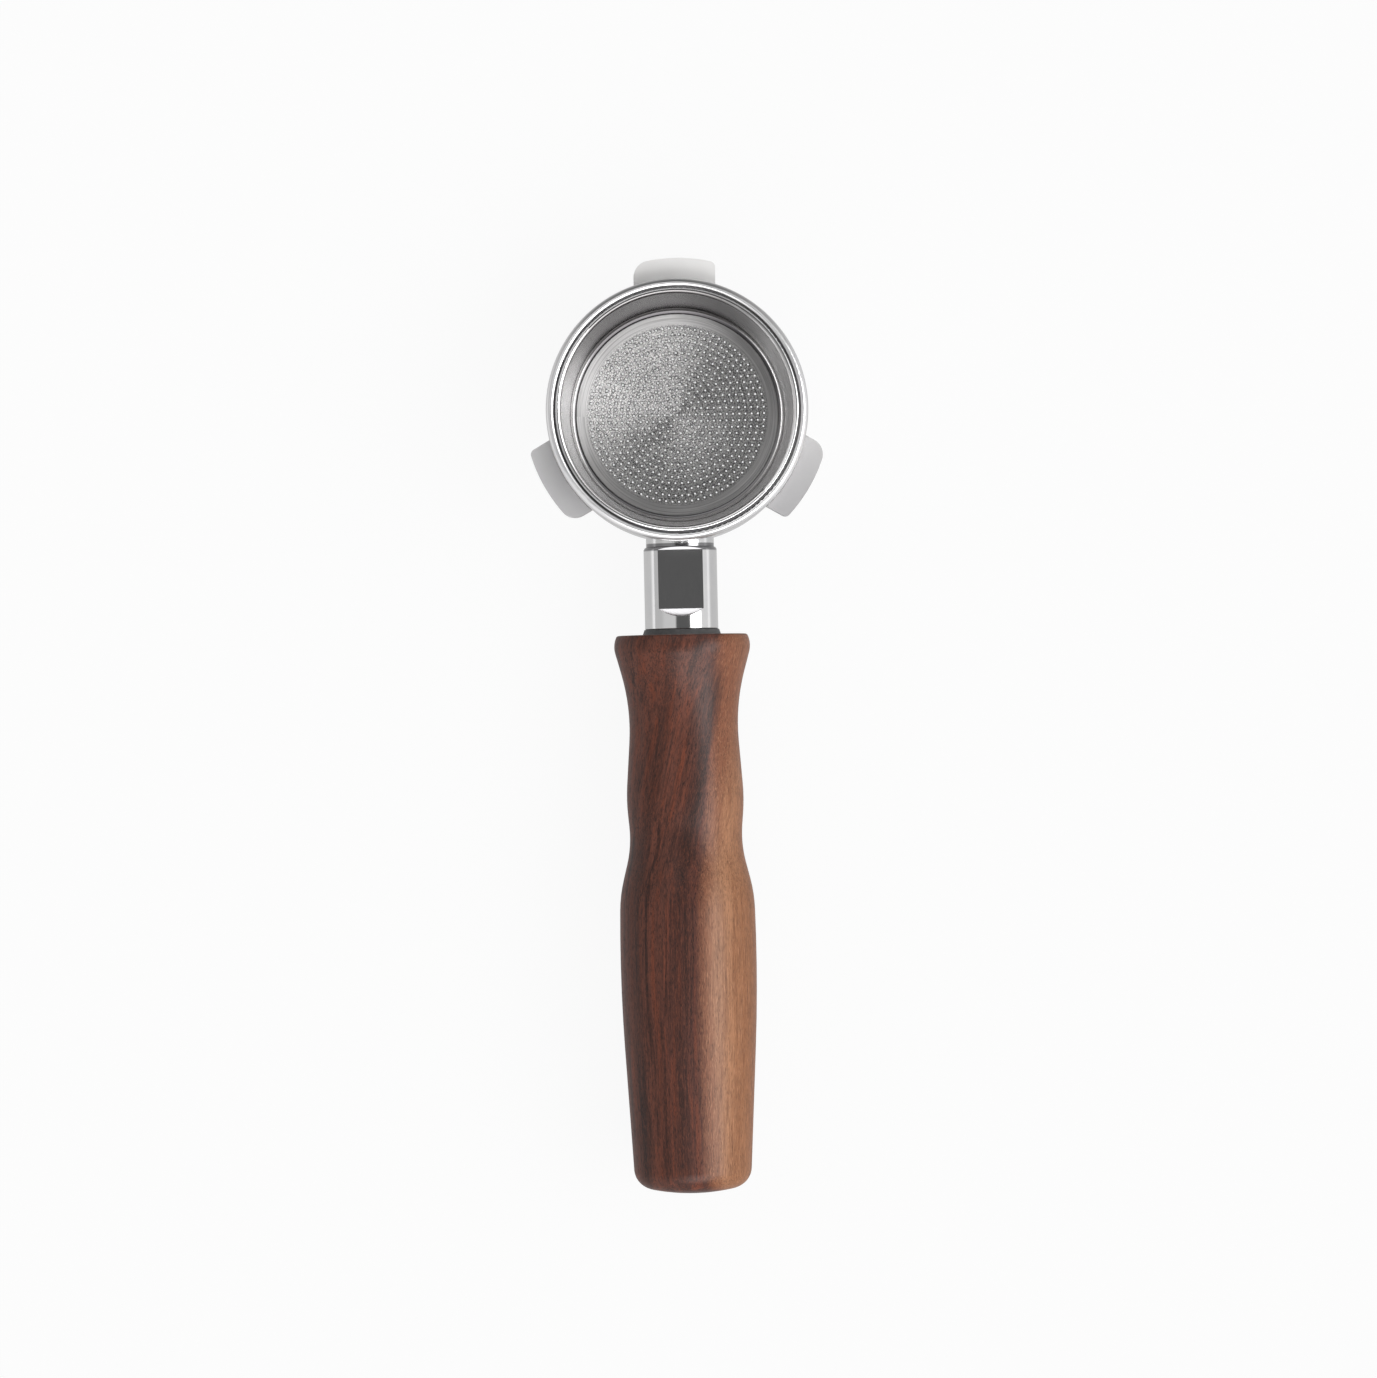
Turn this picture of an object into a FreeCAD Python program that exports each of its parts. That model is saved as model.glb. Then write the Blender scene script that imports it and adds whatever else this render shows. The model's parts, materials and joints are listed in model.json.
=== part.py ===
import FreeCAD, Part
import math
import operator
import os
from collections import namedtuple
from types import SimpleNamespace

import Sketcher

# A bottomless portafilter for an espresso machine: a steel ring with three bayonet lugs,
# the perforated basket that it holds, and a turned wooden handle on a steel neck.
#
# +Z is the ring's axis and points out of the basket's mouth. The handle points along -Y.
# The origin is on the ring's axis, in the plane of the basket's rim.

# Driving dimensions: alias, value in millimetres or degrees, meaning.
DIMENSIONS = (
    ("ring_radius", 31.55, "outside of the ring's collar, above the lugs"),
    ("ring_body_radius", 31.15, "outside of the ring below its collar"),
    ("ring_bore_radius", 28.9, "bore of the ring"),
    ("ring_height", 32.0, "rim plane to the ring's bottom edge"),
    ("collar_depth", 5.0, "rim plane to the lower edge of the ring's collar"),
    ("ring_top_drop", 0.1, "rim plane to the ring's top edge"),
    ("ring_top_rounding", 1.2, "rounding of the ring's top outer edge"),
    ("ring_seat_rounding", 0.4, "rounding of the ring's top inner edge, around the seat"),
    ("ring_foot_rounding", 0.8, "rounding of the ring's bottom outer edge"),
    ("seat_radius", 29.6, "recess that the basket's flange sits in"),
    ("groove_radius", 29.95, "bottom of the spring groove"),
    ("groove_width", 1.9, "width of the spring groove"),
    ("groove_depth", 12.0, "rim plane to the middle of the spring groove"),
    ("lug_radius", 36.9, "outside of the lugs"),
    ("lug_half_width", 9.85, "half the distance between a lug's flanks"),
    ("lug_top_depth", 5.5, "rim plane to the high end of a lug's top"),
    ("lug_thickness", 5.0, "height of a lug at its high end"),
    ("lug_ramp", 1.35, "fall of a lug's top towards its leading end"),
    ("lug_lead_rounding", 4.0, "rounding of a lug's leading corner"),
    ("lug_trail_rounding", 1.4, "rounding of a lug's trailing corner"),
    ("lug_overshoot", 1.0, "how far the lugs are drawn past their outside before they are trimmed"),
    ("lug_trim_width", 5.0, "width of the ring-shaped cut that trims them"),
    ("boss_radius", 8.3, "boss on the ring that carries the neck"),
    ("boss_face", 32.4, "ring's axis to the boss's face"),
    ("root_distance", 29.3, "ring's axis to where lugs and boss start inside the wall"),
    ("neck_depth", 22.5, "rim plane to the axis of neck and handle"),
    ("sheet_thickness", 0.6, "sheet steel of the basket"),
    ("flange_radius", 29.3, "outside of the basket's flange"),
    ("mouth_radius", 27.96, "inside of the basket at its mouth"),
    ("foot_radius", 26.1, "inside of the basket at its floor"),
    ("basket_depth", 23.5, "rim plane to the basket's floor"),
    ("mouth_rounding", 0.9, "bend between flange and wall, inside"),
    ("flange_edge_rounding", 0.25, "rounded outer edge of the flange"),
    ("flange_root_rounding", 0.3, "bend between flange and wall, outside"),
    ("floor_rounding", 1.65, "bend between wall and floor, inside"),
    ("floor_outer_rounding", 2.2, "bend between wall and floor, outside"),
    ("hole_pitch", 1.52, "distance between rings of holes"),
    ("hole_radius", 0.34, "entry of a hole in the basket's floor"),
    ("hole_exit_radius", 0.22, "exit of a hole under the basket's floor"),
    ("wire_radius", 0.8, "wire of the basket's spring"),
    ("spring_radius", 28.78, "mean radius of the spring"),
    ("spring_lobe", 0.32, "how far the spring's three lobes stand out from that"),
    ("spring_gap", 24.0, "gap between the spring's ends, degrees"),
    ("spigot_radius", 5.0, "spigot that joins the neck to the boss"),
    ("spigot_length", 2.3, "length of that spigot"),
    ("neck_radius", 8.95, "outside of the neck"),
    ("neck_end", 52.6, "ring's axis to the neck's far end"),
    ("neck_start_rounding", 0.9, "rounding of the neck's edge at the boss"),
    ("neck_end_rounding", 0.3, "rounding of the neck's edge at the washer"),
    ("panel_height", 7.09, "neck's axis to the flat panel milled on its top"),
    ("panel_start", 33.2, "ring's axis to the start of the flat panel"),
    ("panel_end", 47.6, "ring's axis to the end of the flat panel"),
    ("panel_lead_in", 0.8, "length of the slope at the panel's start"),
    ("panel_run_out", 1.9, "length of the slope at the panel's end"),
    ("stud_radius", 4.0, "M8 stud between neck and handle"),
    ("stud_in_neck", 14.0, "how deep the stud's hole goes into the neck"),
    ("stud_in_handle", 19.0, "how far the stud reaches into the handle"),
    ("stud_chamfer", 0.8, "chamfer at the stud's ends"),
    ("running_gap", 0.02, "radial clearance between pieces that are joined"),
    ("end_gap", 0.5, "clearance at the blind ends of holes"),
    ("washer_start_radius", 9.15, "outside of the washer at the neck"),
    ("washer_end_radius", 9.6, "outside of the washer at the handle"),
    ("washer_thickness", 1.3, "thickness of the washer"),
    ("insert_radius", 6.0, "outside of the threaded insert"),
    ("insert_flange_radius", 7.5, "outside of the insert's flange"),
    ("insert_flange", 1.0, "thickness of the insert's flange"),
    ("insert_length", 20.0, "length of the insert"),
    ("insert_groove", 0.5, "depth of the grooves around the insert"),
    ("handle_length", 136.4, "handle's front face to the tip of its end"),
    ("handle_lip_at", 2.8, "front face to the lip's widest place"),
    ("handle_lip", 16.62, "radius of the handle at its lip"),
    ("handle_lip_curve", 6.0, "radius of the lip's curve"),
    ("handle_waist_at", 22.5, "front face to the waist"),
    ("handle_waist", 13.27, "radius of the handle at its waist"),
    ("handle_waist_curve", 50.0, "radius of the waist's curve"),
    ("handle_thumb_at", 39.8, "front face to the swell under the thumb"),
    ("handle_thumb", 14.27, "radius of the handle at that swell"),
    ("handle_thumb_curve", 45.0, "radius of that swell's curve"),
    ("handle_groove_at", 49.2, "front face to the finger groove"),
    ("handle_groove", 13.72, "radius of the handle at the finger groove"),
    ("handle_groove_curve", 28.0, "radius of the finger groove's curve"),
    ("handle_shoulder_curve", 35.0, "radius of the curve from finger groove to palm"),
    ("handle_shoulder_end", 67.3, "front face to where that curve meets the palm swell"),
    ("handle_palm_at", 78.0, "front face to the palm swell"),
    ("handle_palm", 16.65, "radius of the handle at the palm swell"),
    ("handle_palm_curve", 420.0, "radius of the palm swell's curve"),
    ("handle_tail", 14.2, "radius of the handle where its end face starts"),
    ("handle_end_curve", 48.0, "radius of the domed end face"),
    ("handle_end_rounding", 5.0, "rounding between side and end face"),
    ("handle_front_rounding", 0.7, "rounding of the front edge"),
)

LUG_COUNT = 3
LUG_ANGLES = (90.0, 210.0, 330.0)
HOLE_RINGS = 14
HOLES_PER_RING_STEP = 6
INSERT_GROOVES = 5
SPRING_LOBES = 3
SPRING_STEPS = 48
SPRING_GAP_ANGLE = 90.0

FULL_TURN = 360.0
UPWARD = FreeCAD.Vector(0, 0, 1)
# Two lengths that differ by less than this are the same one.
TOLERANCE = 0.01

# Names that a Sketcher constraint has numbers for.
START, END, CENTRE = 1, 2, 3
X_AXIS, Y_AXIS = -1, -2
ON_AXIS = None

OPERATIONS = {
    "+": operator.add,
    "-": operator.sub,
    "*": operator.mul,
    "/": operator.truediv,
}


class Size:
    """A number that remembers the spreadsheet expression it comes from."""

    def __init__(self, value, text):
        self.value = value
        self.text = text

    def combined(self, sign, other):
        """This size and another one, or a plain number, joined by an arithmetic sign."""
        other = other if isinstance(other, Size) else Size(other, str(other))
        value = OPERATIONS[sign](self.value, other.value)
        return Size(value, f"({self.text} {sign} {other.text})")

    def __add__(self, other):
        return self.combined("+", other)

    def __sub__(self, other):
        return self.combined("-", other)

    def __mul__(self, other):
        return self.combined("*", other)

    def __truediv__(self, other):
        return self.combined("/", other)

    def __neg__(self):
        return Size(-self.value, f"-{self.text}")


def fill_spreadsheet(document):
    """Put the driving dimensions in a sheet and return them as named sizes."""
    sheet = document.addObject("Spreadsheet::Sheet", "Dimensions")
    sizes = SimpleNamespace()
    for row, (alias, value, meaning) in enumerate(DIMENSIONS, start=1):
        sheet.set(f"A{row}", meaning)
        sheet.set(f"B{row}", str(value))
        sheet.setAlias(f"B{row}", alias)
        setattr(sizes, alias, Size(value, f"Dimensions.{alias}"))
    document.recompute()
    return sizes


document = FreeCAD.newDocument("portafilter")
size = fill_spreadsheet(document)


# ---------------------------------------------------------------- sketches

def vector(point):
    """The present place of a sketch point whose coordinates are sizes."""
    x, y = (0.0 if place is ON_AXIS else place.value for place in point)
    return FreeCAD.Vector(x, y, 0)


def bind(sketch, kind, *place, to):
    """Add a dimension to a sketch and bind it to the spreadsheet."""
    index = sketch.addConstraint(Sketcher.Constraint(kind, *place, to.value))
    sketch.setExpression(f"Constraints[{index}]", to.text)


def fix(sketch, geometry, vertex, point):
    """Hold one vertex of a piece of geometry at a point."""
    for kind, axis, place in zip(("DistanceX", "DistanceY"), (Y_AXIS, X_AXIS), point):
        if place is ON_AXIS:
            sketch.addConstraint(Sketcher.Constraint("PointOnObject", geometry, vertex, axis))
        else:
            bind(sketch, kind, geometry, vertex, to=place)


def join_in_a_loop(sketch, kinds):
    """Join each piece of geometry to the next: kinds has a constraint name for each joint."""
    count = len(kinds)
    for index, kind in enumerate(kinds):
        sketch.addConstraint(Sketcher.Constraint(kind, index, END, (index + 1) % count, START))


def new_sketch(body, name, role, offset=None):
    """An empty sketch on one of the body's origin planes, or offset along its normal."""
    plane = next(item for item in body.Origin.OriginFeatures if item.Role == role)
    sketch = body.newObject("Sketcher::SketchObject", name)
    sketch.AttachmentSupport = (plane, [""])
    sketch.MapMode = "FlatFace"
    if offset is not None:
        sketch.setExpression("AttachmentOffset.Base.z", offset.text)
    return sketch


def polygon_sketch(body, name, role, points, offset=None):
    """A sketch of a closed polygon with every corner fixed."""
    sketch = new_sketch(body, name, role, offset)
    corners = [vector(point) for point in points]
    lines = [Part.LineSegment(a, b) for a, b in zip(corners, corners[1:] + corners[:1])]
    sketch.addGeometry(lines, False)
    join_in_a_loop(sketch, ["Coincident"] * len(points))
    for index, point in enumerate(points):
        fix(sketch, index, START, point)
    return sketch


def circle_sketch(body, name, role, centre, radii, offset=None):
    """A sketch of one circle, or of several around the same centre."""
    sketch = new_sketch(body, name, role, offset)
    for index, radius in enumerate(radii):
        circle = Part.Circle(vector(centre), UPWARD, radius.value)
        sketch.addGeometry(circle, False)
        bind(sketch, "Radius", index, to=radius)
        fix(sketch, index, CENTRE, centre)
    return sketch


# ---------------------------------------------------------------- outlines with arcs

# A curve of a turned outline. Its bulge is OUTWARD when it is wide in the middle. The second
# coordinate of its centre runs along the turned piece, the first away from the axis.
Curve = namedtuple("Curve", "centre radius bulge")
OUTWARD, INWARD = -1, 1


def station_curve(at, width, radius, bulge):
    """The curve that is widest or narrowest at a station, where its radius from the axis is width."""
    return Curve((width + radius * bulge, at), radius, bulge)


def nested_curve(outer, point, radius):
    """A tighter curve inside an outer one that touches it at a point."""
    centre = vector(outer.centre)
    share = radius.value / outer.radius.value
    inner_centre = point + (centre - point) * share
    place = (Size(inner_centre.x, ""), Size(inner_centre.y, ""))
    return Curve(place, radius, outer.bulge)


def point_on(curve, at=None, out=None):
    """The point of a curve at a distance along the piece, or at a distance out from its axis."""
    centre, radius = vector(curve.centre), curve.radius.value
    if at is not None:
        rise = math.sqrt(radius ** 2 - (at - centre.y) ** 2)
        return FreeCAD.Vector(centre.x - curve.bulge * rise, at, 0)
    return FreeCAD.Vector(out, centre.y + math.sqrt(radius ** 2 - (out - centre.x) ** 2), 0)


def turned(direction, angle):
    """A direction turned in the sketch's plane."""
    return FreeCAD.Rotation(UPWARD, math.degrees(angle)).multVec(direction)


def line_touching(first, second):
    """Where the line that crosses from one curve to the next, of opposite bulge, touches both."""
    start, end = vector(first.centre), vector(second.centre)
    reach = first.radius.value + second.radius.value
    between = end - start
    spread = math.acos(reach / between.Length)
    normal = turned(between.normalize(), first.bulge * spread)
    return start + normal * first.radius.value, end - normal * second.radius.value


def touch_from(point, curve):
    """Where the line from a point further along touches a curve that bulges outward."""
    between = point - vector(curve.centre)
    spread = math.acos(curve.radius.value / between.Length)
    normal = turned(between.normalize(), -spread)
    return vector(curve.centre) + normal * curve.radius.value


class Outline:
    """A closed chain of lines and arcs, drawn in a sketch in one direction."""

    def __init__(self, sketch, start):
        self.sketch = sketch
        self.pen = start
        self.pieces = []
        self.curves = []

    def add(self, geometry, near, far, joint, curve=None):
        """Add a piece that starts at the pen; joint is how it meets the piece before."""
        self.sketch.addGeometry(geometry, False)
        index = len(self.pieces)
        if self.pieces:
            before = self.pieces[-1]
            self.sketch.addConstraint(Sketcher.Constraint(joint, index - 1, before[1], index, near))
        self.pieces.append((near, far))
        self.curves.append(curve)

    def line_to(self, point, joint="Coincident"):
        """Draw a straight line from the pen."""
        self.add(Part.LineSegment(self.pen, point), START, END, joint)
        self.pen = point

    def arc_to(self, point, curve, joint="Tangent"):
        """Draw an arc along a curve. Arcs run anticlockwise, so an inward one is drawn backwards."""
        circle = Part.Circle(vector(curve.centre), UPWARD, curve.radius.value)
        ends = (self.pen, point) if curve.bulge == OUTWARD else (point, self.pen)
        near, far = (START, END) if curve.bulge == OUTWARD else (END, START)
        arc = Part.ArcOfCircle(circle, circle.parameter(ends[0]), circle.parameter(ends[1]))
        self.add(arc, near, far, joint, curve)
        self.pen = point

    def close(self):
        """Join the last piece to the first."""
        last, first = self.pieces[-1], self.pieces[0]
        index = len(self.pieces) - 1
        self.sketch.addConstraint(Sketcher.Constraint("Coincident", index, last[1], 0, first[0]))

    def index_of(self, curve):
        """The number of the arc that was drawn along a curve."""
        return next(i for i, drawn in enumerate(self.curves) if drawn is curve)


# ---------------------------------------------------------------- features

def new_body(name):
    """An empty body whose label names its file."""
    body = document.addObject("PartDesign::Body", name)
    body.Label = name
    return body


def place_on_neck_axis(body, distance=None):
    """Turn a body's +Z to point along the handle, its origin this far from the ring's axis."""
    body.Placement = FreeCAD.Placement(FreeCAD.Vector(), FreeCAD.Rotation(FreeCAD.Vector(1, 0, 0), 90))
    body.setExpression("Placement.Base.z", (-size.neck_depth).text)
    if distance is not None:
        body.setExpression("Placement.Base.y", (-distance).text)


def revolve(body, sketch, name):
    """Turn a sketch once around its vertical axis."""
    feature = body.newObject("PartDesign::Revolution", name)
    feature.Profile = sketch
    feature.ReferenceAxis = (sketch, ["V_Axis"])
    feature.Angle = FULL_TURN
    return feature


def pad(body, sketch, name, length, reverse=False):
    """Extrude a sketch along its normal."""
    feature = body.newObject("PartDesign::Pad", name)
    feature.Profile = sketch
    feature.Reversed = reverse
    feature.setExpression("Length", length.text)
    return feature


def pocket(body, sketch, name, depth):
    """Cut a sketch into the body, against its normal."""
    feature = body.newObject("PartDesign::Pocket", name)
    feature.Profile = sketch
    feature.setExpression("Length", depth.text)
    return feature


def cut_through(body, sketch, name):
    """Cut a sketch through the whole body, both ways."""
    feature = body.newObject("PartDesign::Pocket", name)
    feature.Profile = sketch
    feature.Type = "ThroughAll"
    feature.SideType = "Symmetric"
    return feature


def repeat_around(body, feature, name, count, axis_role="Z_Axis"):
    """Repeat a feature evenly around one of the body's axes."""
    axis = next(item for item in body.Origin.OriginFeatures if item.Role == axis_role)
    pattern = body.newObject("PartDesign::PolarPattern", name)
    pattern.Originals = [feature]
    pattern.Axis = (axis, [""])
    pattern.Angle = FULL_TURN
    pattern.Occurrences = count
    body.Tip = pattern
    return pattern


def round_edges(body, name, radius, is_wanted):
    """Round the edges of the body so far that is_wanted picks."""
    document.recompute()
    base = body.Tip
    numbered = enumerate(base.Shape.Edges, start=1)
    names = [f"Edge{number}" for number, edge in numbered if is_wanted(edge)]
    feature = body.newObject("PartDesign::Fillet", name)
    feature.Base = (base, names)
    feature.setExpression("Radius", radius.text)
    return feature


def keep_seams(feature):
    """Stop a feature from merging the bands of the basket's floor into one face."""
    feature.Refine = False
    return feature


def is_same(length, other):
    """Whether two lengths are equal, but for rounding."""
    return math.isclose(length, other, abs_tol=TOLERANCE)


def circle_at(radius, height):
    """A test for the circular edges around +Z with this radius at this height."""
    def is_wanted(edge):
        curve = circle_of(edge)
        return (
            curve is not None
            and is_same(curve.Radius, radius.value)
            and is_same(curve.Center.z, height.value)
            and is_same(math.hypot(curve.Center.x, curve.Center.y), 0.0)
        )
    return is_wanted


def circle_of(edge):
    """The circle that an edge lies on, or None. A point-like edge on an axis has no curve."""
    if edge.Degenerated or not isinstance(edge.Curve, Part.Circle):
        return None
    return edge.Curve


# ---------------------------------------------------------------- ring, basket and spring

def build_filter_holder():
    """The steel ring: basket seat, spring groove, three bayonet lugs and the neck's boss."""
    body = new_body("filter_holder")
    turn_ring(body)
    add_lugs(body)
    add_boss(body)
    return body


def turn_ring(body):
    """The turned ring with its seat and its groove."""
    groove_top = -(size.groove_depth - size.groove_width / 2)
    groove_bottom = -(size.groove_depth + size.groove_width / 2)
    section = [
        (size.ring_bore_radius, -size.ring_height),
        (size.ring_body_radius, -size.ring_height),
        (size.ring_body_radius, -size.collar_depth),
        (size.ring_radius, -size.collar_depth),
        (size.ring_radius, -size.ring_top_drop),
        (size.seat_radius, -size.ring_top_drop),
        (size.seat_radius, -size.sheet_thickness),
        (size.ring_bore_radius, -size.sheet_thickness),
        (size.ring_bore_radius, groove_top),
        (size.groove_radius, groove_top),
        (size.groove_radius, groove_bottom),
        (size.ring_bore_radius, groove_bottom),
    ]
    revolve(body, polygon_sketch(body, "RingSection", "XZ_Plane", section), "Ring")
    top_edge = circle_at(size.ring_radius, -size.ring_top_drop)
    round_edges(body, "RingTopRounding", size.ring_top_rounding, top_edge)
    seat_edge = circle_at(size.seat_radius, -size.ring_top_drop)
    round_edges(body, "RingSeatRounding", size.ring_seat_rounding, seat_edge)
    foot_edge = circle_at(size.ring_body_radius, -size.ring_height)
    round_edges(body, "RingFootRounding", size.ring_foot_rounding, foot_edge)


def add_lugs(body):
    """Three lugs with parallel flanks and a top that falls towards the leading end."""
    bottom = -(size.lug_top_depth + size.lug_thickness)
    front = [
        (-size.lug_half_width, bottom),
        (size.lug_half_width, bottom),
        (size.lug_half_width, -size.lug_top_depth),
        (-size.lug_half_width, -(size.lug_top_depth + size.lug_ramp)),
    ]
    sketch = polygon_sketch(body, "LugFront", "XZ_Plane", front, offset=-size.root_distance)
    length = size.lug_radius + size.lug_overshoot - size.root_distance
    lug = pad(body, sketch, "Lug", length, reverse=True)
    repeat_around(body, lug, "Lugs", LUG_COUNT)

    beyond = [size.lug_radius, size.lug_radius + size.lug_trim_width]
    trim = circle_sketch(body, "BeyondLugs", "XY_Plane", (ON_AXIS, ON_AXIS), beyond)
    cut_through(body, trim, "LugTips")
    round_edges(body, "LugLeadingCorners", size.lug_lead_rounding, is_lug_corner(leading=True))
    round_edges(body, "LugTrailingCorners", size.lug_trail_rounding, is_lug_corner(leading=False))


def is_lug_corner(leading):
    """A test for the upright outer edges at the lugs' leading or trailing ends."""
    def is_wanted(edge):
        first, last = (vertex.Point for vertex in (edge.Vertexes[0], edge.Vertexes[-1]))
        run = math.hypot(last.x - first.x, last.y - first.y)
        is_upright = is_same(run, 0.0) and not is_same(first.z, last.z)
        is_outside = is_same(math.hypot(first.x, first.y), size.lug_radius.value)
        angle = math.degrees(math.atan2(first.y, first.x)) % FULL_TURN
        turn = min((angle - lug for lug in LUG_ANGLES), key=abs)
        return is_upright and is_outside and (turn > 0) == leading
    return is_wanted


def add_boss(body):
    """The round boss for the neck, with the socket for its spigot."""
    centre = (ON_AXIS, -size.neck_depth)
    boss = circle_sketch(
        body, "BossOutline", "XZ_Plane", centre, [size.boss_radius], offset=size.root_distance
    )
    pad(body, boss, "Boss", size.boss_face - size.root_distance)
    socket_radius = size.spigot_radius + size.running_gap
    socket = circle_sketch(
        body, "SocketOutline", "XZ_Plane", centre, [socket_radius], offset=size.boss_face
    )
    pocket(body, socket, "Socket", size.spigot_length + size.running_gap)


def build_filter_basket():
    """The pressed sheet basket: flange, tapered wall and perforated floor."""
    body = new_body("filter_basket")
    floor_top = -size.basket_depth
    floor_bottom = -(size.basket_depth + size.sheet_thickness)
    outer_mouth = size.mouth_radius + size.sheet_thickness
    outer_foot = size.foot_radius + size.sheet_thickness
    # The floor's flat faces end between the rings of holes, so that each ring has its own face.
    bands = [size.hole_pitch * (ring + 0.5) for ring in range(HOLE_RINGS + 1)]
    section = [
        (size.flange_radius, ON_AXIS),
        (size.mouth_radius, ON_AXIS),
        (size.foot_radius, floor_top),
        *((band, floor_top) for band in reversed(bands)),
        (ON_AXIS, floor_top),
        (ON_AXIS, floor_bottom),
        *((band, floor_bottom) for band in bands),
        (outer_foot, floor_bottom),
        (outer_mouth, -size.sheet_thickness),
        (size.flange_radius, -size.sheet_thickness),
    ]
    keep_seams(revolve(body, polygon_sketch(body, "BasketSection", "XZ_Plane", section), "Cup"))
    rim = Size(0.0, "0")
    bends = (
        ("MouthBend", size.mouth_rounding, size.mouth_radius, rim),
        ("FlangeEdge", size.flange_edge_rounding, size.flange_radius, rim),
        ("FlangeRoot", size.flange_root_rounding, outer_mouth, -size.sheet_thickness),
        ("FloorBend", size.floor_rounding, size.foot_radius, floor_top),
        ("FloorOuterBend", size.floor_outer_rounding, outer_foot, floor_bottom),
    )
    for name, rounding, radius, height in bends:
        keep_seams(round_edges(body, name, rounding, circle_at(radius, height)))
    perforate_floor(body)
    return body


def perforate_floor(body):
    """One hole on the axis and rings of holes around it, each narrowing downwards."""
    height = size.sheet_thickness * 2
    narrowing = (size.hole_radius - size.hole_exit_radius) / size.sheet_thickness
    for ring in range(HOLE_RINGS + 1):
        hole = keep_seams(body.newObject("PartDesign::SubtractiveCone", f"Hole{ring}"))
        hole.setExpression("Radius1", (size.hole_radius - narrowing * height).text)
        hole.setExpression("Radius2", size.hole_radius.text)
        hole.setExpression("Height", height.text)
        hole.setExpression("Placement.Base.x", (size.hole_pitch * ring).text)
        hole.setExpression("Placement.Base.z", (-(size.basket_depth + height)).text)
        if ring:
            keep_seams(repeat_around(body, hole, f"HoleRing{ring}", HOLES_PER_RING_STEP * ring))


def build_basket_spring():
    """The open wire spring: its lobes press into the groove, the flats between on the basket."""
    half_gap = size.spring_gap.value / 2
    points = []
    for step in range(SPRING_STEPS + 1):
        turn = math.radians(half_gap + (FULL_TURN - 2 * half_gap) * step / SPRING_STEPS)
        reach = size.spring_radius.value + size.spring_lobe.value * math.cos(SPRING_LOBES * turn)
        points.append(FreeCAD.Vector(reach * math.cos(turn), reach * math.sin(turn), 0))
    curve = Part.BSplineCurve()
    curve.interpolate(points)
    path = Part.Wire(curve.toShape())
    start = curve.FirstParameter
    section = Part.Circle(curve.value(start), curve.tangent(start)[0], size.wire_radius.value)
    wire = path.makePipeShell([Part.Wire(section.toShape())], True, True)
    spring = document.addObject("Part::Feature", "basket_spring")
    spring.Label = "basket_spring"
    spring.Shape = wire
    to_gap = FreeCAD.Rotation(UPWARD, SPRING_GAP_ANGLE)
    spring.Placement = FreeCAD.Placement(FreeCAD.Vector(), to_gap)
    spring.setExpression("Placement.Base.z", (-size.groove_depth).text)
    return spring


# ---------------------------------------------------------------- neck and handle

def build_neck():
    """The turned neck: spigot, barrel, threaded hole and a flat panel milled on its top."""
    body = new_body("neck")
    place_on_neck_axis(body)
    spigot_end = size.boss_face - size.spigot_length
    hole_end = size.neck_end - size.stud_in_neck
    hole_radius = size.stud_radius + size.running_gap
    section = [
        (ON_AXIS, spigot_end),
        (size.spigot_radius, spigot_end),
        (size.spigot_radius, size.boss_face),
        (size.neck_radius, size.boss_face),
        (size.neck_radius, size.neck_end),
        (hole_radius, size.neck_end),
        (hole_radius, hole_end),
        (ON_AXIS, hole_end),
    ]
    revolve(body, polygon_sketch(body, "NeckSection", "XZ_Plane", section), "Barrel")
    start_edge = circle_at(size.neck_radius, size.boss_face)
    round_edges(body, "NeckStartRounding", size.neck_start_rounding, start_edge)
    end_edge = circle_at(size.neck_radius, size.neck_end)
    round_edges(body, "NeckEndRounding", size.neck_end_rounding, end_edge)

    slope_rise = size.neck_radius - size.panel_height
    panel = [
        (size.panel_height, size.panel_start),
        (size.panel_height, size.panel_end),
        (size.panel_height + slope_rise, size.panel_end + size.panel_run_out),
        (size.panel_height + slope_rise * 2, size.panel_end + size.panel_run_out),
        (size.panel_height + slope_rise * 2, size.panel_start - size.panel_lead_in),
        (size.panel_height + slope_rise, size.panel_start - size.panel_lead_in),
    ]
    cut_through(body, polygon_sketch(body, "PanelSide", "YZ_Plane", panel), "Panel")
    return body


def build_handle_washer():
    """The dark washer between neck and handle, a little wider at the handle."""
    body = new_body("handle_washer")
    place_on_neck_axis(body, size.neck_end)
    hole_radius = size.stud_radius + size.end_gap
    section = [
        (hole_radius, ON_AXIS),
        (size.washer_start_radius, ON_AXIS),
        (size.washer_end_radius, size.washer_thickness),
        (hole_radius, size.washer_thickness),
    ]
    revolve(body, polygon_sketch(body, "WasherSection", "XZ_Plane", section), "Washer")
    return body


def build_handle_stud():
    """The threaded stud that draws the handle against the neck."""
    body = new_body("handle_stud")
    near_end = size.neck_end - size.stud_in_neck + size.end_gap
    place_on_neck_axis(body, near_end)
    length = size.stud_in_neck - size.end_gap + size.washer_thickness + size.stud_in_handle
    tip_radius = size.stud_radius - size.stud_chamfer
    section = [
        (ON_AXIS, ON_AXIS),
        (tip_radius, ON_AXIS),
        (size.stud_radius, size.stud_chamfer),
        (size.stud_radius, length - size.stud_chamfer),
        (tip_radius, length),
        (ON_AXIS, length),
    ]
    revolve(body, polygon_sketch(body, "StudSection", "XZ_Plane", section), "Stud")
    return body


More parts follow.
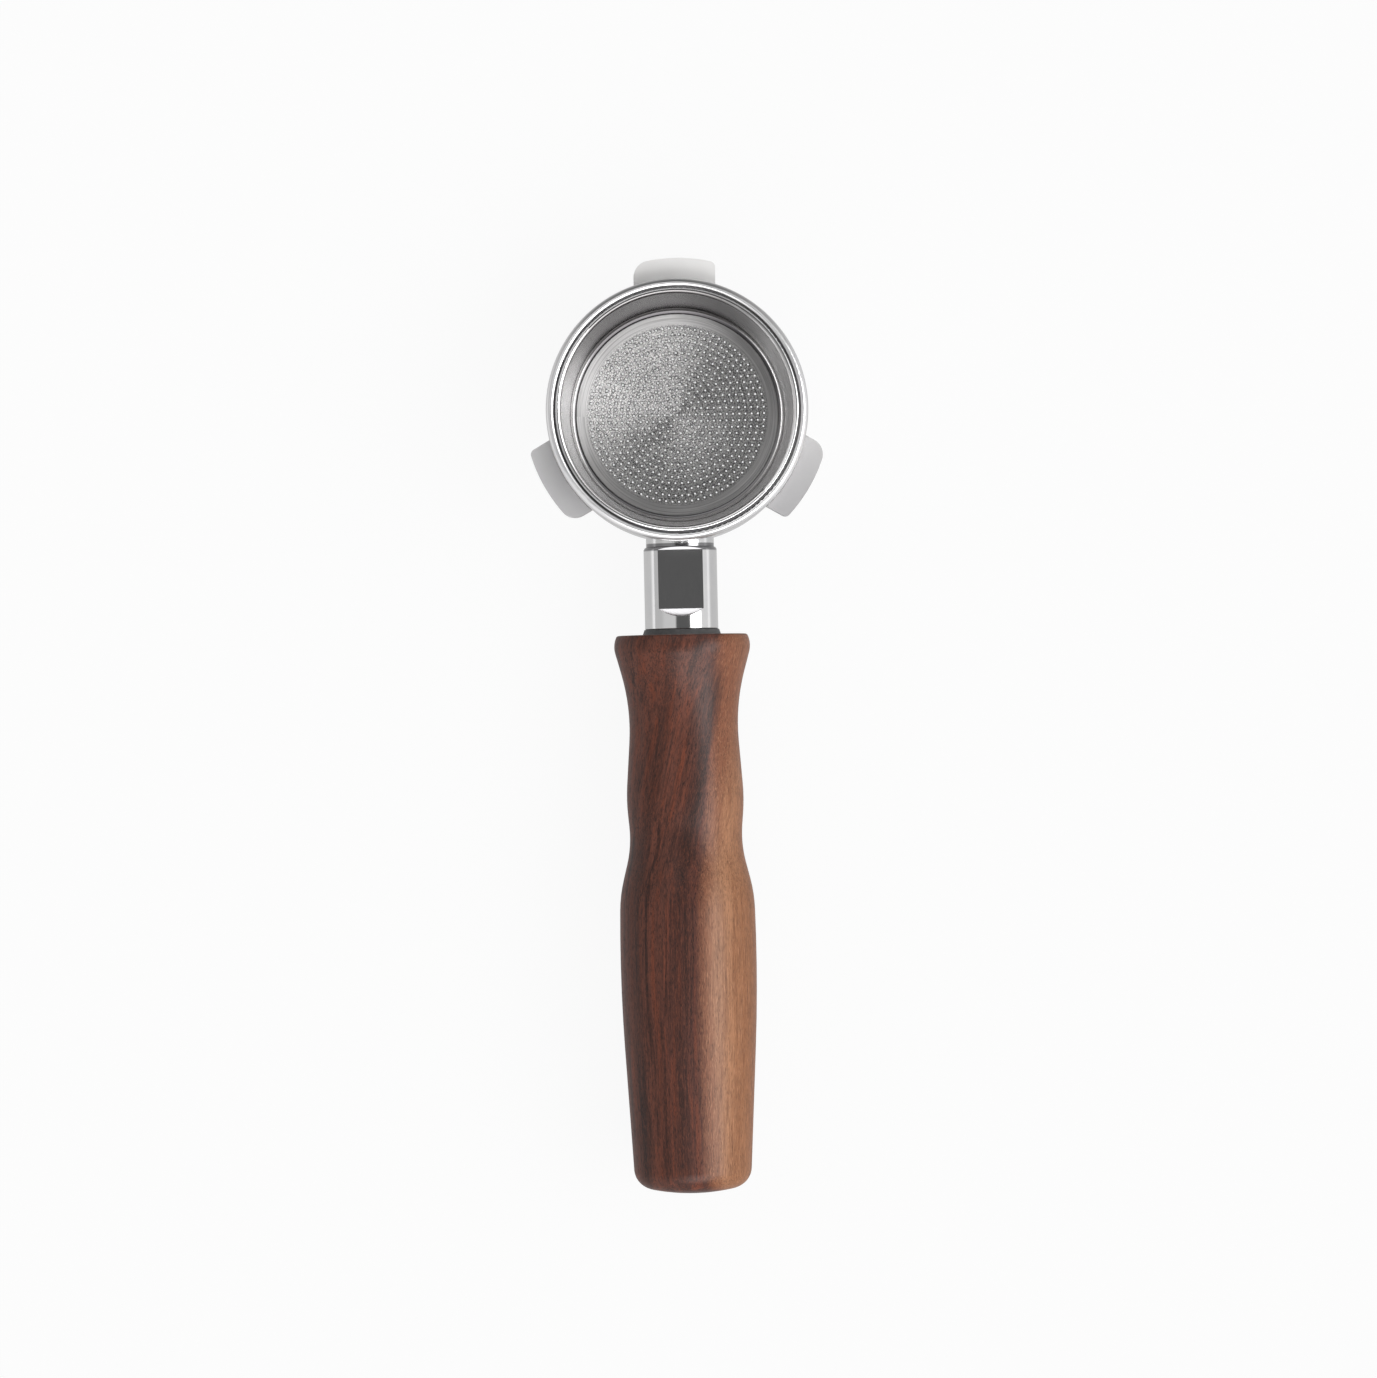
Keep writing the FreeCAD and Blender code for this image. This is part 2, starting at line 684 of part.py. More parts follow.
def build_handle_insert():
    """The flanged insert that is glued into the handle, with grooves for the glue."""
    body = new_body("handle_insert")
    place_on_neck_axis(body, size.neck_end + size.washer_thickness)
    hole_radius = size.stud_radius + size.running_gap
    grooved_length = size.insert_length - size.insert_flange
    groove_radius = size.insert_radius - size.insert_groove
    half_step = grooved_length / (2 * INSERT_GROOVES + 1)
    section = [
        (hole_radius, ON_AXIS),
        (size.insert_flange_radius, ON_AXIS),
        (size.insert_flange_radius, size.insert_flange),
        (size.insert_radius, size.insert_flange),
    ]
    for groove in range(INSERT_GROOVES):
        groove_start = size.insert_flange + half_step * (2 * groove + 1)
        groove_end = size.insert_flange + half_step * (2 * groove + 2)
        section += [
            (size.insert_radius, groove_start),
            (groove_radius, groove_start),
            (groove_radius, groove_end),
            (size.insert_radius, groove_end),
        ]
    section += [
        (size.insert_radius, size.insert_length),
        (hole_radius, size.insert_length),
    ]
    revolve(body, polygon_sketch(body, "InsertSection", "XZ_Plane", section), "Insert")
    return body


def build_handle():
    """The handle, turned from one piece of wood, with the seat for its insert."""
    body = new_body("handle")
    place_on_neck_axis(body, size.neck_end + size.washer_thickness)
    revolve(body, handle_sketch(body), "Turning")
    round_edges(body, "HandleFrontRounding", size.handle_front_rounding, is_front_edge)
    round_edges(body, "HandleEndRounding", size.handle_end_rounding, is_end_edge)
    return body


def is_front_edge(edge):
    """A test for the outer edge of the handle's front face."""
    curve = circle_of(edge)
    is_in_front = curve is not None and is_same(curve.Center.z, 0.0)
    return is_in_front and curve.Radius > size.handle_waist.value


def is_end_edge(edge):
    """A test for the edge between the handle's side and its end face."""
    curve = circle_of(edge)
    return curve is not None and is_same(curve.Radius, size.handle_tail.value)


def handle_sketch(body):
    """Half the handle's section: arcs at named stations, with lines that touch both neighbours."""
    lip = station_curve(size.handle_lip_at, size.handle_lip, size.handle_lip_curve, OUTWARD)
    waist = station_curve(size.handle_waist_at, size.handle_waist, size.handle_waist_curve, INWARD)
    thumb = station_curve(size.handle_thumb_at, size.handle_thumb, size.handle_thumb_curve, OUTWARD)
    groove = station_curve(size.handle_groove_at, size.handle_groove, size.handle_groove_curve, INWARD)
    palm = station_curve(size.handle_palm_at, size.handle_palm, size.handle_palm_curve, OUTWARD)
    dome = Curve((ON_AXIS, size.handle_length - size.handle_end_curve), size.handle_end_curve, OUTWARD)
    shoulder_end = point_on(palm, at=size.handle_shoulder_end.value)
    shoulder = nested_curve(palm, shoulder_end, size.handle_shoulder_curve)
    tail = point_on(dome, out=size.handle_tail.value)

    seat_radius = size.insert_flange_radius + size.running_gap
    seat_depth = size.insert_flange + size.running_gap
    bore_radius = size.insert_radius + size.running_gap
    bore_depth = size.insert_length + size.end_gap
    tip = (ON_AXIS, size.handle_length)
    bore_outline = [
        (ON_AXIS, bore_depth),
        (bore_radius, bore_depth),
        (bore_radius, seat_depth),
        (seat_radius, seat_depth),
        (seat_radius, ON_AXIS),
    ]

    outline = Outline(new_sketch(body, "HandleSection", "XZ_Plane"), vector(bore_outline[-1]))
    outline.line_to(point_on(lip, at=0.0))
    joint = "Coincident"
    for curve, following in ((lip, waist), (waist, thumb), (thumb, groove), (groove, shoulder)):
        leave, arrive = line_touching(curve, following)
        outline.arc_to(leave, curve, joint)
        joint = "Tangent"
        outline.line_to(arrive, joint)
    outline.arc_to(shoulder_end, shoulder)
    outline.arc_to(touch_from(tail, palm), palm)
    outline.line_to(tail, "Tangent")
    outline.arc_to(vector(tip), dome, "Coincident")
    for point in bore_outline:
        outline.line_to(vector(point))
    outline.close()

    sketch = outline.sketch
    for curve in (lip, waist, thumb, groove, palm, dome):
        fix(sketch, outline.index_of(curve), CENTRE, curve.centre)
        if curve is not dome:
            bind(sketch, "Radius", outline.index_of(curve), to=curve.radius)
    bind(sketch, "Radius", outline.index_of(shoulder), to=shoulder.radius)
    bind(sketch, "DistanceY", outline.index_of(shoulder), END, to=size.handle_shoulder_end)
    bind(sketch, "DistanceX", outline.index_of(dome), START, to=size.handle_tail)
    fix(sketch, outline.index_of(dome), END, tip)
    sketch.addConstraint(Sketcher.Constraint("PointOnObject", 0, END, X_AXIS))
    first_bore_line = outline.index_of(dome) + 1
    for index, point in enumerate(bore_outline, start=first_bore_line):
        fix(sketch, index, END, point)
    return sketch


def build_all():
    """Every sub-part, in the order that the portafilter is put together."""
    return [
        build_filter_holder(),
        build_basket_spring(),
        build_filter_basket(),
        build_neck(),
        build_handle_stud(),
        build_handle_washer(),
        build_handle_insert(),
        build_handle(),
    ]


def check(parts):
    """Stop if any object failed to build or any sub-part is not a valid solid."""
    for item in document.Objects:
        if "Invalid" in item.State or "Error" in item.State:
            raise RuntimeError(f"{item.Label} did not build: {item.State}")
    for part in parts:
        if part.Shape.isNull() or not part.Shape.isValid() or not part.Shape.Solids:
            raise RuntimeError(f"{part.Label} is not a valid solid")


def export(parts):
    """Write each sub-part to its own file."""
    os.makedirs("parts", exist_ok=True)
    for part in parts:
        part.Shape.exportStep(f"parts/{part.Label}.step")


sub_parts = build_all()
document.recompute()
check(sub_parts)
export(sub_parts)
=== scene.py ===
import json
import math

import bpy
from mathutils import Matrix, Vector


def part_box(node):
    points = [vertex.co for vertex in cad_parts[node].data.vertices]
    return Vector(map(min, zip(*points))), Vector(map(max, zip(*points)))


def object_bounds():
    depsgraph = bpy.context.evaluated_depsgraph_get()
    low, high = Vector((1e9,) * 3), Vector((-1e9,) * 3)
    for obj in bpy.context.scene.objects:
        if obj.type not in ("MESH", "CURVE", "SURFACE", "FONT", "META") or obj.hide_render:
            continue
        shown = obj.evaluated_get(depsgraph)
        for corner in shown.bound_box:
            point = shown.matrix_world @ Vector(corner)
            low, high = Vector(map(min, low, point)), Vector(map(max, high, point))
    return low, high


# The looks of a bottomless portafilter: polished and brushed steel and a turned walnut handle,
# on a white floor, seen from straight above.

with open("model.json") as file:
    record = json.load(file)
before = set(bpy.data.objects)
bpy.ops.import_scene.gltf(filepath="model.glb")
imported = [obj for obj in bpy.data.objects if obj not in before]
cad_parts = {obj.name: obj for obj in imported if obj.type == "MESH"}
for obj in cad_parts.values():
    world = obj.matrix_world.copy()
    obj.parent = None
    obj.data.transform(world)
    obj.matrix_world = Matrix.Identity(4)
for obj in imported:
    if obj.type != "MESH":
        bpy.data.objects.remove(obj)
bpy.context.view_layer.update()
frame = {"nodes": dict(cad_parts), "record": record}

MILLIMETRES = 1000.0


# ---------------------------------------------------------------- node sheets

class Signal:
    """An output of a node, which ordinary arithmetic works on."""

    def __init__(self, sheet, socket):
        self.sheet = sheet
        self.socket = socket

    def __add__(self, other):
        return self.sheet.math("ADD", self, other)

    def __sub__(self, other):
        return self.sheet.math("SUBTRACT", self, other)

    def __rsub__(self, other):
        return self.sheet.math("SUBTRACT", other, self)

    def __mul__(self, other):
        return self.sheet.math("MULTIPLY", self, other)

    def __truediv__(self, other):
        return self.sheet.math("DIVIDE", self, other)

    def __rtruediv__(self, other):
        return self.sheet.math("DIVIDE", other, self)

    __radd__ = __add__
    __rmul__ = __mul__


class Sheet:
    """A node tree, with short names for the nodes that this scene uses."""

    def __init__(self, tree):
        self.tree = tree
        tree.nodes.clear()

    def feed(self, socket, value):
        """Link a signal to an input, or give the input a number or a colour."""
        if isinstance(value, Signal):
            self.tree.links.new(value.socket, socket)
        elif socket.type == "RGBA":
            socket.default_value = (*value, 1.0)
        else:
            socket.default_value = value

    def add(self, kind, inputs, output=0, **settings):
        """Add a node and return one of its outputs."""
        node = self.tree.nodes.new(kind)
        for name, value in settings.items():
            setattr(node, name, value)
        for name, value in inputs.items():
            self.feed(node.inputs[name], value)
        return Signal(self, node.outputs[output])

    def math(self, operation, *values):
        """A sum, product or function of one to three numbers."""
        return self.add("ShaderNodeMath", dict(enumerate(values)), operation=operation)

    def length(self, *parts):
        """The length of a vector with these parts."""
        return self.math("SQRT", sum(part * part for part in parts))

    def step(self, value, low, high):
        """0 below low, 1 above high, and smooth between them. low may be the higher one."""
        inputs = {"Value": value, "From Min": low, "From Max": high}
        return self.add("ShaderNodeMapRange", inputs, interpolation_type="SMOOTHSTEP")

    def between(self, value, low, high, edge):
        """1 between low and high, falling to 0 within edge on either side."""
        rise = self.step(value, low - edge, low + edge)
        fall = self.step(value, high + edge, high - edge)
        return rise * fall

    def vector(self, x, y, z):
        """Three numbers as a vector."""
        return self.add("ShaderNodeCombineXYZ", {"X": x, "Y": y, "Z": z})

    def parts(self, vector):
        """The three numbers of a vector."""
        node = self.tree.nodes.new("ShaderNodeSeparateXYZ")
        self.feed(node.inputs[0], vector)
        return [Signal(self, output) for output in node.outputs]

    def place(self):
        """Where the shaded point is in the object's own frame, in millimetres."""
        point = self.add("ShaderNodeTexCoord", {}, "Object")
        return [part * MILLIMETRES for part in self.parts(point)]

    def noise(self, vector, scale=1.0, detail=2.0, roughness=0.5):
        """Smooth noise around 0.5."""
        inputs = {"Vector": vector, "Scale": scale, "Detail": detail, "Roughness": roughness}
        return self.add("ShaderNodeTexNoise", inputs, "Fac")

    def cells(self, vector, scale=1.0):
        """The distance to the nearest of many scattered points."""
        return self.add("ShaderNodeTexVoronoi", {"Vector": vector, "Scale": scale}, "Distance")

    def blend(self, share, first, second):
        """A colour that goes from the first to the second as share goes from 0 to 1."""
        inputs = {"Factor": share, 6: first, 7: second}
        return self.add("ShaderNodeMix", inputs, 2, data_type="RGBA")

    def graph(self, value, stops):
        """A number read off a curve through stops, each a place from 0 to 1 and its height."""
        node = self.tree.nodes.new("ShaderNodeValToRGB")
        self.feed(node.inputs[0], value)
        points = node.color_ramp.elements
        points.remove(points[1])
        for index, (place, height) in enumerate(stops):
            point = points.new(place) if index else points[0]
            point.position = place
            point.color = (height, height, height, 1.0)
        return Signal(self, node.outputs[0])

    def bump(self, height, depth, **normal):
        """The surface's normal after a relief this many millimetres deep."""
        inputs = {"Height": height, "Distance": depth / MILLIMETRES, **normal}
        return self.add("ShaderNodeBump", inputs)

    def lean_out(self, x, y, radius, slope):
        """The surface's normal after leaning it away from the object's vertical axis."""
        outwards = self.vector(x / radius * slope, y / radius * slope, 0.0)
        spaces = {"vector_type": "VECTOR", "convert_from": "OBJECT", "convert_to": "WORLD"}
        push = self.add("ShaderNodeVectorTransform", {"Vector": outwards}, **spaces)
        normal = self.add("ShaderNodeNewGeometry", {}, "Normal")
        leaning = self.add("ShaderNodeVectorMath", {0: normal, 1: push}, operation="ADD")
        return self.add("ShaderNodeVectorMath", {0: leaning}, operation="NORMALIZE")

    def steel_tangent(self, axis):
        """The direction around one of the object's axes, along which turned metal is scratched."""
        return self.add("ShaderNodeTangent", {}, direction_type="RADIAL", axis=axis)

    def surface(self, **inputs):
        """Finish a material with one principled shader."""
        named = {name.replace("_", " "): value for name, value in inputs.items()}
        shader = self.add("ShaderNodeBsdfPrincipled", named)
        self.output("ShaderNodeOutputMaterial", shader)

    def output(self, kind, shader):
        """End the sheet with its output node."""
        node = self.tree.nodes.new(kind)
        self.feed(node.inputs["Surface"], shader)


def display(red, green, blue):
    """A colour as a screen shows it, 0 to 255, as the light it stands for."""
    def light(part):
        share = part / 255
        return share / 12.92 if share <= 0.04045 else ((share + 0.055) / 1.055) ** 2.4
    return tuple(light(part) for part in (red, green, blue))


def new_sheet(name):
    """An empty material and its node sheet."""
    material = bpy.data.materials.new(name)
    material.use_nodes = True
    return material, Sheet(material.node_tree)


def paint(node, material):
    """Give a CAD node this material instead of its plain one."""
    materials = frame["nodes"][node].data.materials
    materials.clear()
    materials.append(material)


# ---------------------------------------------------------------- steel

# Places on the ring and the basket, in millimetres: radii from the ring's axis, heights from its top.
SEAT_RADIUS = 29.6
LAND_START, LAND_END = 29.95, 30.85
LUG_FOOT = -11.0
BOSS_SHADE_TOP = -6.0
FLANGE_RADIUS = 29.3
FLANGE_FOOT = -0.35
FLANGE_FALL_START, FLANGE_FALL_END = 28.60, 29.20
WALL_TOP, WALL_FOOT = -1.2, -21.5
BEND_START, BEND_END = 24.6, 25.45
FLOOR_RADIUS = 24.4
FLOOR_TOP = -23.3
HOLE_PITCH = 1.52
HOLE_RINGS = 14
HOLES_PER_RING_STEP = 6
PIERCED_RADIUS = HOLE_PITCH * HOLE_RINGS

# Painted shade for the seam and the bend in the basket's steel.
CREASE_SHADE = display(66, 64, 66)
# Painted shade for the boss where it meets the ring, and for the neck against it.
BOSS_SHADE = display(84, 83, 86)
BOSS_SHADE_SHARE = 0.75


def ring_steel():
    """Polished steel for the ring, with bead-blasted lugs."""
    material, sheet = new_sheet("look_polished_steel")
    x, y, z = sheet.place()
    collar = next(m for m in frame["record"]["mounts"] if m["name"] == "group_collar")
    collar_radius = collar["dims"]["r_mm"]
    collar_foot = collar["pos_m"][2] * MILLIMETRES - collar["dims"]["length_mm"] / 2
    radius = sheet.length(x, y)
    around = sheet.math("ARCTAN2", y, x)
    is_lug = sheet.step(radius, collar_radius + 0.02, collar_radius + 0.12)
    is_lug = is_lug * sheet.step(z, collar_foot + 0.05, collar_foot - 0.05)
    is_lug = is_lug * sheet.step(z, LUG_FOOT - 1.0, LUG_FOOT)

    point = sheet.vector(x, y, z)
    turning = sheet.noise(sheet.vector(radius * 9.0, z * 9.0, around * 1.5), detail=3.0)
    smudge = sheet.noise(point, 0.09, 3.0, 0.6)
    grain = sheet.noise(point, 7.0, 2.0, 0.6)
    shade = sheet.blend(smudge, display(226, 226, 228), display(236, 235, 234))
    # Painted light: the blasted lugs are painted brighter on the far side and darker on the near
    # side, as the light falls.
    lug_light_side = sheet.step(y + x * 0.12, -24.0, 32.0)
    lug_lit_colour = sheet.blend(lug_light_side, display(162, 161, 162), display(225, 224, 223))
    is_top = sheet.step(z, -1.8, -0.8)
    rough = 0.09 + turning * 0.06 + smudge * 0.05 + is_top * 0.18
    lug_rough = 0.42 + grain * 0.14
    relief = turning * (1.0 - is_lug) * 0.25 + grain * is_lug * 4.0
    # Painted shade: the seam around the basket's flange is painted dark, where shade falls in the
    # gap.
    is_seam_shade = sheet.step(radius, SEAT_RADIUS + 0.14, SEAT_RADIUS + 0.04) * sheet.step(z, -2.5, -2.0)
    shade = sheet.blend(is_seam_shade * 0.8, shade, display(70, 68, 70))
    # Painted shade: where the neck's boss meets the ring it is painted darker, for the shade and dark
    # reflection between the parts.
    is_boss_shade = sheet.step(y, 0.1 - collar_radius, -collar_radius - 0.2)
    is_boss_shade = is_boss_shade * sheet.step(z, BOSS_SHADE_TOP, BOSS_SHADE_TOP - 1.0)
    shade = sheet.blend(is_boss_shade * BOSS_SHADE_SHARE, shade, BOSS_SHADE)
    # The land on top is slightly domed.
    dome_slope = 0.7
    dome = (sheet.step(radius, LAND_START, LAND_END) - 0.5) * dome_slope
    domed = sheet.lean_out(x, y, radius, dome * sheet.step(z, -1.5, -1.0))
    sheet.surface(
        Base_Color=sheet.blend(is_lug, shade, lug_lit_colour),
        Metallic=1.0 - is_lug * 0.4,
        Roughness=rough * (1.0 - is_lug) + lug_rough * is_lug,
        Normal=sheet.bump(relief, 0.006, Normal=domed),
    )
    return material


def basket_steel():
    """Pressed steel: pierced, gritty and circular brushed on the floor, polished elsewhere."""
    material, sheet = new_sheet("look_brushed_steel")
    x, y, z = sheet.place()
    radius = sheet.length(x, y)
    around = sheet.math("ARCTAN2", y, x)
    is_flange = sheet.step(z, FLANGE_FOOT - 0.4, FLANGE_FOOT)
    is_floor = sheet.step(z, FLOOR_TOP + 0.7, FLOOR_TOP)
    is_floor = is_floor * sheet.step(radius, FLOOR_RADIUS + 0.5, FLOOR_RADIUS)
    # Scratches follow circles: fine across, long along the turn.
    fine = sheet.noise(sheet.vector(radius * 9.0, z * 9.0, around * 2.0), 1.0, 4.0, 0.65)
    lines = sheet.noise(sheet.vector(radius * 2.6, z * 2.6, around * 0.7), 1.0, 3.0, 0.6)
    worn = sheet.noise(sheet.vector(x, y, z), 0.12, 3.0, 0.6)

    # Each hole has a pressed lip. The nearest hole is found from the rings that the holes stand on.
    ring = sheet.math("ROUND", radius / HOLE_PITCH)
    step_angle = (2 * math.pi / HOLES_PER_RING_STEP) / sheet.math("MAXIMUM", ring, 1.0)
    beside = (around / step_angle - sheet.math("ROUND", around / step_angle)) * step_angle * radius
    off_ring = radius - ring * HOLE_PITCH
    to_hole = sheet.length(beside, off_ring)
    is_pierced = is_floor * sheet.step(ring, HOLE_RINGS + 0.6, HOLE_RINGS + 0.4)
    lip = sheet.step(to_hole, 0.60, 0.36) * is_pierced

    # Grit covers the pierced part of the floor: dark pits and bright specks.
    is_gritty = sheet.step(radius, PIERCED_RADIUS + 1.32, PIERCED_RADIUS + 0.12)
    grit = sheet.noise(sheet.vector(x * 2.8, y * 2.8, radius * 4.0), 1.0, 2.0, 0.8)
    pits = sheet.step(grit, 0.52, 0.38) * is_gritty
    specks = sheet.step(grit, 0.52, 0.64) * is_gritty
    is_middle = sheet.step(radius, PIERCED_RADIUS + 0.72, 6.0)
    shade = sheet.blend(fine, display(140, 139, 140), display(244, 243, 242))
    shade = sheet.blend(is_middle * 0.28, shade, display(96, 95, 96))
    shade = sheet.blend(sheet.step(lines, 0.56, 0.40) * 0.4, shade, display(110, 109, 110))
    shade = sheet.blend(pits * 0.85, shade, display(34, 33, 34))
    shade = sheet.blend(specks * 0.7, shade, display(255, 254, 252))
    uneven = sheet.step(sheet.noise(sheet.vector(x, y, z), 0.8, 2.0), 0.40, 0.60)
    # Painted shade: a dark ring is painted around each hole, unevenly, as the shade of its pressed
    # lip.
    shade = sheet.blend(lip * (0.15 + uneven * 0.55), shade, display(52, 51, 52))
    # The inside of the wall is duller than the outside.
    normal_x, normal_y = sheet.parts(sheet.add("ShaderNodeTexCoord", {}, "Normal"))[:2]
    is_inside = sheet.step((normal_x * x + normal_y * y) / radius, 0.1, -0.1)
    # Painted shade: one side of the inner wall is painted darker, for the shade on that side.
    far_wall_shade_azimuth = math.radians(102.0)
    far_wall_shade = sheet.math("COSINE", around - far_wall_shade_azimuth) * 0.5 + 0.5
    far_wall_shade = sheet.step(far_wall_shade + (worn - 0.5) * 0.12, 0.64, 0.96) * is_inside
    wall_shade = sheet.blend(is_inside, display(224, 224, 225), display(236, 235, 235))
    wall_shade = sheet.blend(far_wall_shade, wall_shade, display(118, 116, 116))
    shade = sheet.blend(is_floor, wall_shade, shade)
    # Painted shade: the seam around the flange and the bend around the floor are painted dark, where
    # shade falls in the gap and the crease.
    is_seam_shade = sheet.step(radius, FLANGE_RADIUS - 0.14, FLANGE_RADIUS - 0.04)
    is_seam_shade = is_seam_shade * sheet.step(z, WALL_TOP, WALL_TOP + 0.3)
    is_bend_shade = sheet.between(radius, BEND_START, BEND_END, 0.2)
    is_bend_shade = is_bend_shade * sheet.step(z, WALL_FOOT + 0.5, WALL_FOOT - 0.5)
    shade = sheet.blend(is_seam_shade * 0.8 + is_bend_shade * 0.88, shade, CREASE_SHADE)
    floor_rough = 0.40 + lines * 0.12 + worn * 0.06
    is_wall = sheet.between(z, WALL_FOOT, WALL_TOP, 0.4) * (1.0 - is_floor) * is_inside
    wall_rough = 0.09 + lines * 0.12 + is_wall * 0.08 + (1.0 - is_inside) * 0.10
    rough = floor_rough * is_floor + wall_rough * (1.0 - is_floor)
    relief = (fine + lines * 2.0 + grit * is_gritty * 3.0) * is_floor - lip * 3.0
    # The flange falls off a little towards its edge.
    fall_slope = 0.4
    fall = sheet.step(radius, FLANGE_FALL_START, FLANGE_FALL_END) * is_flange * fall_slope
    fallen = sheet.lean_out(x, y, radius, fall)
    sheet.surface(
        Base_Color=shade,
        Metallic=1.0 - is_wall * (1.0 - far_wall_shade) * 0.42 - is_floor * (0.12 + specks * 0.3),
        Roughness=rough * (1.0 - is_flange) + 0.19 * is_flange,
        Anisotropic=0.4 + 0.6 * is_floor,
        Anisotropic_Rotation=0.25,
        Tangent=sheet.steel_tangent("Z"),
        Normal=sheet.bump(relief, 0.012, Normal=fallen),
    )
    return material


def neck_steel():
    """Polished steel with a brushed flat panel on top."""
    material, sheet = new_sheet("look_neck_steel")
    x, y, z = sheet.place()
    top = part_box("neck")[1].z * MILLIMETRES
    facing = sheet.parts(sheet.add("ShaderNodeNewGeometry", {}, "True Normal"))[2]
    is_panel = sheet.step(facing, 0.97, 0.995) * sheet.step(z, top - 1.2, top - 1.5)
    turning = sheet.noise(sheet.vector(y * 8.0, x * 0.6, z * 0.6), 1.0, 3.0)
    brushing = sheet.noise(sheet.vector(x * 9.0, y * 0.5, z), 1.0, 4.0, 0.6)
    smudge = sheet.noise(sheet.vector(x, y, z), 0.25, 3.0, 0.6)
    shade = sheet.blend(smudge, display(224, 224, 226), display(236, 235, 234))
    # Painted shade: the neck is painted darker against the ring's boss, where shade falls between the
    # parts.
    boss_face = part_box("filter_holder")[0].y * MILLIMETRES
    is_boss_shade = sheet.step(y, boss_face - 1.2, boss_face - 0.7)
    shade = sheet.blend(is_boss_shade * BOSS_SHADE_SHARE, shade, BOSS_SHADE)
    panel_shade = sheet.blend(brushing, display(206, 206, 208), display(228, 227, 226))
    is_round = 1.0 - is_panel
    sheet.surface(
        Base_Color=sheet.blend(is_panel, shade, panel_shade),
        Metallic=1.0,
        Roughness=(0.06 + turning * 0.06) * is_round + (0.10 + brushing * 0.08) * is_panel,
        Normal=sheet.bump(turning * is_round * 0.3 + brushing * is_panel, 0.003),
    )
    return material


def wire_steel():
    """Drawn spring wire with faint marks along its length."""
    material, sheet = new_sheet("look_spring_steel")
    x, y, z = sheet.place()
    around = sheet.math("ARCTAN2", y, x)
    radius = sheet.length(x, y)
    drawn = sheet.noise(sheet.vector(radius * 12.0, z * 12.0, around * 6.0), 1.0, 3.0)
    stain = sheet.noise(sheet.vector(x, y, z), 0.3, 3.0)
    sheet.surface(
        Base_Color=sheet.blend(stain, display(176, 176, 180), display(202, 200, 196)),
        Metallic=1.0,
        Roughness=0.22 + drawn * 0.16,
        Normal=sheet.bump(drawn, 0.006),
    )
    return material


def stud_steel():
    """Zinc-plated steel with a rolled thread."""
    material, sheet = new_sheet("look_plated_steel")
    x, y, z = sheet.place()
    low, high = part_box("handle_stud")
    centre = (low.z + high.z) / 2 * MILLIMETRES
    pitch = 1.25
    turn = sheet.math("ARCTAN2", z - centre, x)
    thread = sheet.math("SINE", y * (2 * math.pi / pitch) + turn)
    stain = sheet.noise(sheet.vector(x, y, z), 0.8, 3.0)
    sheet.surface(
        Base_Color=sheet.blend(stain, display(190, 190, 184), display(214, 212, 200)),
        Metallic=1.0,
        Roughness=0.28 + stain * 0.14,
        Normal=sheet.bump(thread, 0.35),
    )
    return material


def insert_brass():
    """Turned brass, a little tarnished."""
    material, sheet = new_sheet("look_brass")
    x, y, z = sheet.place()
    turning = sheet.noise(sheet.vector(y * 6.0, x * 0.5, z * 0.5), 1.0, 3.0)
    tarnish = sheet.noise(sheet.vector(x, y, z), 0.5, 4.0, 0.6)
    sheet.surface(
        Base_Color=sheet.blend(tarnish, display(222, 190, 118), display(184, 146, 82)),
        Metallic=1.0,
        Roughness=0.20 + turning * 0.10 + tarnish * 0.12,
        Normal=sheet.bump(turning, 0.008),
    )
    return material


def washer_rubber():
    """Dark satin rubber with a fine moulded grain."""
    material, sheet = new_sheet("look_washer_rubber")
    x, y, z = sheet.place()
    point = sheet.vector(x, y, z)
    grain = sheet.noise(point, 9.0, 3.0, 0.6)
    dust = sheet.noise(point, 0.8, 3.0, 0.6)
    sheet.surface(
        Base_Color=sheet.blend(dust, display(52, 52, 54), display(84, 83, 82)),
        Roughness=0.42 + grain * 0.16,
        Normal=sheet.bump(grain, 0.02),
    )
    return material


# ---------------------------------------------------------------- wood

